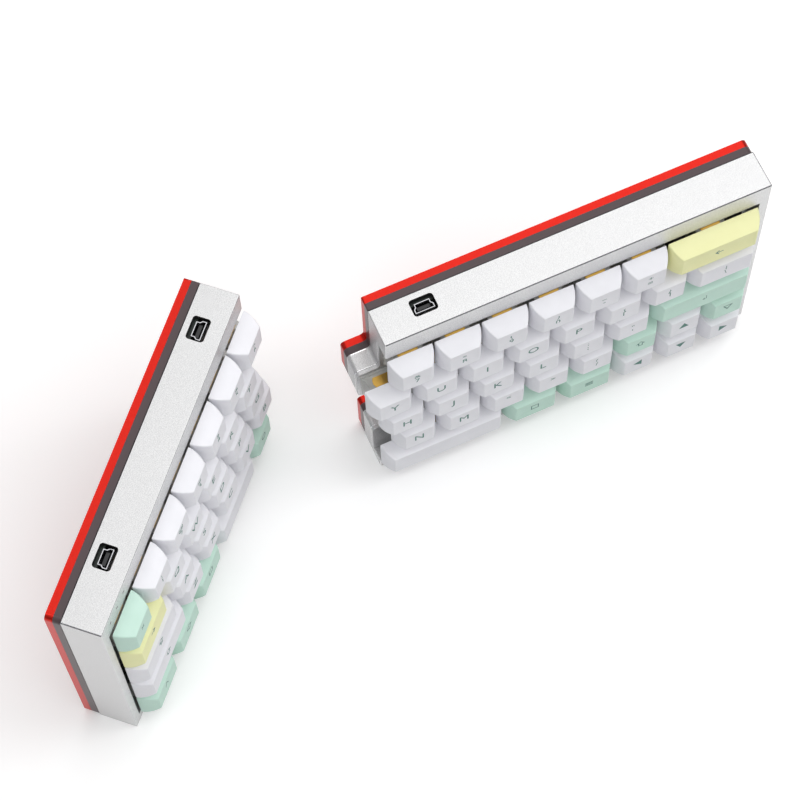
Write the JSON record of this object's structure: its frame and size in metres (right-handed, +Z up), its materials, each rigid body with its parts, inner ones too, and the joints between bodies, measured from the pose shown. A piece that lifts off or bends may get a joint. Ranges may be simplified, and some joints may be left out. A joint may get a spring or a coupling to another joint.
{
  "type": "ergonomic split keyboard",
  "caption": "Mechanical keyboard in two aluminium halves with separately travelling sculpted keys, smoky acrylic and red base layers, and link sockets in the back walls.",
  "frame": {"origin": "centre of the left half's front wall face, on which it stands, on the table", "axes": "+Z up along the key columns towards the number row, +X along the left half's key rows away from its outer edge, -Y the way that the left half's keys face"},
  "size_m": [0.2573, 0.1944, 0.1126],
  "materials": {
    "sandblasted_aluminium": "fine sandblasted, clear anodised",
    "smoky_acrylic": "polished smoky acrylic",
    "red_anodised": "red anodised, satin",
    "circuit_board": "solder mask",
    "clear_housing": "clear moulded",
    "black_plastic": "moulded",
    "dark_steel": "machined",
    "rubber": "matt",
    "plated_steel": "bright plated",
    "light_pipe": "clear",
    "keycap_white": "fine textured PBT",
    "keycap_mint": "fine textured PBT",
    "keycap_yellow": "fine textured PBT"
  },
  "bodies": {
    "left_half": {"left_frame": "sandblasted_aluminium", "left_acrylic_layer": "smoky_acrylic", "left_base_plate": "red_anodised", "left_switch_plate": "sandblasted_aluminium", "left_circuit_board": "circuit_board", "left_switch_housings": "clear_housing", "left_stabilisers": "black_plastic", "left_screws": "dark_steel", "left_feet": "rubber", "left_sockets": "plated_steel", "left_indicator_lights": "light_pipe"},
    "right_half": {"right_frame": "sandblasted_aluminium", "right_acrylic_layer": "smoky_acrylic", "right_base_plate": "red_anodised", "right_switch_plate": "sandblasted_aluminium", "right_circuit_board": "circuit_board", "right_switch_housings": "clear_housing", "right_stabilisers": "black_plastic", "right_screws": "dark_steel", "right_feet": "rubber", "right_socket": "plated_steel"},
    "key_escape": {"key_escape": "keycap_mint"},
    "keys_1_2_3": {"keys_1_2_3": "keycap_white"},
    "keys_4_5_6": {"keys_4_5_6": "keycap_white"},
    "key_tab": {"key_tab": "keycap_yellow"},
    "keys_q_w_e": {"keys_q_w_e": "keycap_white"},
    "keys_r_t": {"keys_r_t": "keycap_white"},
    "key_caps_lock": {"key_caps_lock": "keycap_white"},
    "keys_a_s_d": {"keys_a_s_d": "keycap_white"},
    "keys_f_g": {"keys_f_g": "keycap_white"},
    "key_left_shift": {"key_left_shift": "keycap_white"},
    "keys_z_x_c": {"keys_z_x_c": "keycap_white"},
    "keys_v_b": {"keys_v_b": "keycap_white"},
    "key_control": {"key_control": "keycap_mint"},
    "key_system": {"key_system": "keycap_mint"},
    "key_left_alt": {"key_left_alt": "keycap_mint"},
    "key_left_space": {"key_left_space": "keycap_white"},
    "key_layer": {"key_layer": "keycap_mint"},
    "keys_7_8_9": {"keys_7_8_9": "keycap_white"},
    "keys_0_minus_equals": {"keys_0_minus_equals": "keycap_white"},
    "key_backspace": {"key_backspace": "keycap_yellow"},
    "key_y": {"key_y": "keycap_white"},
    "keys_u_i": {"keys_u_i": "keycap_white"},
    "keys_o_p": {"keys_o_p": "keycap_white"},
    "keys_brackets": {"keys_brackets": "keycap_white"},
    "key_backslash": {"key_backslash": "keycap_white"},
    "keys_h_j_k": {"keys_h_j_k": "keycap_white"},
    "keys_l_semicolon_quote": {"keys_l_semicolon_quote": "keycap_white"},
    "key_enter": {"key_enter": "keycap_mint"},
    "keys_n_m": {"keys_n_m": "keycap_white"},
    "keys_comma_dot_slash": {"keys_comma_dot_slash": "keycap_white"},
    "key_right_shift": {"key_right_shift": "keycap_mint"},
    "key_up": {"key_up": "keycap_white"},
    "key_delete": {"key_delete": "keycap_mint"},
    "key_right_space": {"key_right_space": "keycap_white"},
    "key_right_alt": {"key_right_alt": "keycap_mint"},
    "key_menu": {"key_menu": "keycap_mint"},
    "key_left": {"key_left": "keycap_white"},
    "key_down": {"key_down": "keycap_white"},
    "key_right": {"key_right": "keycap_white"}
  },
  "joints": [
    {"name": "right_half_swing", "type": "hinge", "parent": "left_half", "child": "right_half", "pos_m": [0.00435, -0.03529, 0], "axis": [0, 0, 1], "range_deg": [0, 46.9]},
    {"name": "key_escape_press", "type": "slide", "parent": "left_half", "child": "key_escape", "axis": [0, 1, 0], "range_m": [0, 0.004], "stiffness_N_per_m": 75, "springref_m": -0.005},
    {"name": "keys_1_2_3_press", "type": "slide", "parent": "left_half", "child": "keys_1_2_3", "axis": [0, 1, 0], "range_m": [0, 0.004], "stiffness_N_per_m": 225, "springref_m": -0.005},
    {"name": "keys_4_5_6_press", "type": "slide", "parent": "left_half", "child": "keys_4_5_6", "axis": [0, 1, 0], "range_m": [0, 0.004], "stiffness_N_per_m": 225, "springref_m": -0.005},
    {"name": "key_tab_press", "type": "slide", "parent": "left_half", "child": "key_tab", "axis": [0, 1, 0], "range_m": [0, 0.004], "stiffness_N_per_m": 75, "springref_m": -0.005},
    {"name": "keys_q_w_e_press", "type": "slide", "parent": "left_half", "child": "keys_q_w_e", "axis": [0, 1, 0], "range_m": [0, 0.004], "stiffness_N_per_m": 225, "springref_m": -0.005},
    {"name": "keys_r_t_press", "type": "slide", "parent": "left_half", "child": "keys_r_t", "axis": [0, 1, 0], "range_m": [0, 0.004], "stiffness_N_per_m": 150, "springref_m": -0.005},
    {"name": "key_caps_lock_press", "type": "slide", "parent": "left_half", "child": "key_caps_lock", "axis": [0, 1, 0], "range_m": [0, 0.004], "stiffness_N_per_m": 75, "springref_m": -0.005},
    {"name": "keys_a_s_d_press", "type": "slide", "parent": "left_half", "child": "keys_a_s_d", "axis": [0, 1, 0], "range_m": [0, 0.004], "stiffness_N_per_m": 225, "springref_m": -0.005},
    {"name": "keys_f_g_press", "type": "slide", "parent": "left_half", "child": "keys_f_g", "axis": [0, 1, 0], "range_m": [0, 0.004], "stiffness_N_per_m": 150, "springref_m": -0.005},
    {"name": "key_left_shift_press", "type": "slide", "parent": "left_half", "child": "key_left_shift", "axis": [0, 1, 0], "range_m": [0, 0.004], "stiffness_N_per_m": 75, "springref_m": -0.005},
    {"name": "keys_z_x_c_press", "type": "slide", "parent": "left_half", "child": "keys_z_x_c", "axis": [0, 1, 0], "range_m": [0, 0.004], "stiffness_N_per_m": 225, "springref_m": -0.005},
    {"name": "keys_v_b_press", "type": "slide", "parent": "left_half", "child": "keys_v_b", "axis": [0, 1, 0], "range_m": [0, 0.004], "stiffness_N_per_m": 150, "springref_m": -0.005},
    {"name": "key_control_press", "type": "slide", "parent": "left_half", "child": "key_control", "axis": [0, 1, 0], "range_m": [0, 0.004], "stiffness_N_per_m": 75, "springref_m": -0.005},
    {"name": "key_system_press", "type": "slide", "parent": "left_half", "child": "key_system", "axis": [0, 1, 0], "range_m": [0, 0.004], "stiffness_N_per_m": 75, "springref_m": -0.005},
    {"name": "key_left_alt_press", "type": "slide", "parent": "left_half", "child": "key_left_alt", "axis": [0, 1, 0], "range_m": [0, 0.004], "stiffness_N_per_m": 75, "springref_m": -0.005},
    {"name": "key_left_space_press", "type": "slide", "parent": "left_half", "child": "key_left_space", "axis": [0, 1, 0], "range_m": [0, 0.004], "stiffness_N_per_m": 75, "springref_m": -0.005},
    {"name": "key_layer_press", "type": "slide", "parent": "left_half", "child": "key_layer", "axis": [0, 1, 0], "range_m": [0, 0.004], "stiffness_N_per_m": 75, "springref_m": -0.005},
    {"name": "keys_7_8_9_press", "type": "slide", "parent": "right_half", "child": "keys_7_8_9", "axis": [0.7302, 0.6833, 0], "range_m": [0, 0.004], "stiffness_N_per_m": 225, "springref_m": -0.005},
    {"name": "keys_0_minus_equals_press", "type": "slide", "parent": "right_half", "child": "keys_0_minus_equals", "axis": [0.7302, 0.6833, 0], "range_m": [0, 0.004], "stiffness_N_per_m": 225, "springref_m": -0.005},
    {"name": "key_backspace_press", "type": "slide", "parent": "right_half", "child": "key_backspace", "axis": [0.7302, 0.6833, 0], "range_m": [0, 0.004], "stiffness_N_per_m": 75, "springref_m": -0.005},
    {"name": "key_y_press", "type": "slide", "parent": "right_half", "child": "key_y", "axis": [0.7302, 0.6833, 0], "range_m": [0, 0.004], "stiffness_N_per_m": 75, "springref_m": -0.005},
    {"name": "keys_u_i_press", "type": "slide", "parent": "right_half", "child": "keys_u_i", "axis": [0.7302, 0.6833, 0], "range_m": [0, 0.004], "stiffness_N_per_m": 150, "springref_m": -0.005},
    {"name": "keys_o_p_press", "type": "slide", "parent": "right_half", "child": "keys_o_p", "axis": [0.7302, 0.6833, 0], "range_m": [0, 0.004], "stiffness_N_per_m": 150, "springref_m": -0.005},
    {"name": "keys_brackets_press", "type": "slide", "parent": "right_half", "child": "keys_brackets", "axis": [0.7302, 0.6833, 0], "range_m": [0, 0.004], "stiffness_N_per_m": 150, "springref_m": -0.005},
    {"name": "key_backslash_press", "type": "slide", "parent": "right_half", "child": "key_backslash", "axis": [0.7302, 0.6833, 0], "range_m": [0, 0.004], "stiffness_N_per_m": 75, "springref_m": -0.005},
    {"name": "keys_h_j_k_press", "type": "slide", "parent": "right_half", "child": "keys_h_j_k", "axis": [0.7302, 0.6833, 0], "range_m": [0, 0.004], "stiffness_N_per_m": 225, "springref_m": -0.005},
    {"name": "keys_l_semicolon_quote_press", "type": "slide", "parent": "right_half", "child": "keys_l_semicolon_quote", "axis": [0.7302, 0.6833, 0], "range_m": [0, 0.004], "stiffness_N_per_m": 225, "springref_m": -0.005},
    {"name": "key_enter_press", "type": "slide", "parent": "right_half", "child": "key_enter", "axis": [0.7302, 0.6833, 0], "range_m": [0, 0.004], "stiffness_N_per_m": 75, "springref_m": -0.005},
    {"name": "keys_n_m_press", "type": "slide", "parent": "right_half", "child": "keys_n_m", "axis": [0.7302, 0.6833, 0], "range_m": [0, 0.004], "stiffness_N_per_m": 150, "springref_m": -0.005},
    {"name": "keys_comma_dot_slash_press", "type": "slide", "parent": "right_half", "child": "keys_comma_dot_slash", "axis": [0.7302, 0.6833, 0], "range_m": [0, 0.004], "stiffness_N_per_m": 225, "springref_m": -0.005},
    {"name": "key_right_shift_press", "type": "slide", "parent": "right_half", "child": "key_right_shift", "axis": [0.7302, 0.6833, 0], "range_m": [0, 0.004], "stiffness_N_per_m": 75, "springref_m": -0.005},
    {"name": "key_up_press", "type": "slide", "parent": "right_half", "child": "key_up", "axis": [0.7302, 0.6833, 0], "range_m": [0, 0.004], "stiffness_N_per_m": 75, "springref_m": -0.005},
    {"name": "key_delete_press", "type": "slide", "parent": "right_half", "child": "key_delete", "axis": [0.7302, 0.6833, 0], "range_m": [0, 0.004], "stiffness_N_per_m": 75, "springref_m": -0.005},
    {"name": "key_right_space_press", "type": "slide", "parent": "right_half", "child": "key_right_space", "axis": [0.7302, 0.6833, 0], "range_m": [0, 0.004], "stiffness_N_per_m": 75, "springref_m": -0.005},
    {"name": "key_right_alt_press", "type": "slide", "parent": "right_half", "child": "key_right_alt", "axis": [0.7302, 0.6833, 0], "range_m": [0, 0.004], "stiffness_N_per_m": 75, "springref_m": -0.005},
    {"name": "key_menu_press", "type": "slide", "parent": "right_half", "child": "key_menu", "axis": [0.7302, 0.6833, 0], "range_m": [0, 0.004], "stiffness_N_per_m": 75, "springref_m": -0.005},
    {"name": "key_left_press", "type": "slide", "parent": "right_half", "child": "key_left", "axis": [0.7302, 0.6833, 0], "range_m": [0, 0.004], "stiffness_N_per_m": 75, "springref_m": -0.005},
    {"name": "key_down_press", "type": "slide", "parent": "right_half", "child": "key_down", "axis": [0.7302, 0.6833, 0], "range_m": [0, 0.004], "stiffness_N_per_m": 75, "springref_m": -0.005},
    {"name": "key_right_press", "type": "slide", "parent": "right_half", "child": "key_right", "axis": [0.7302, 0.6833, 0], "range_m": [0, 0.004], "stiffness_N_per_m": 75, "springref_m": -0.005}
  ]
}
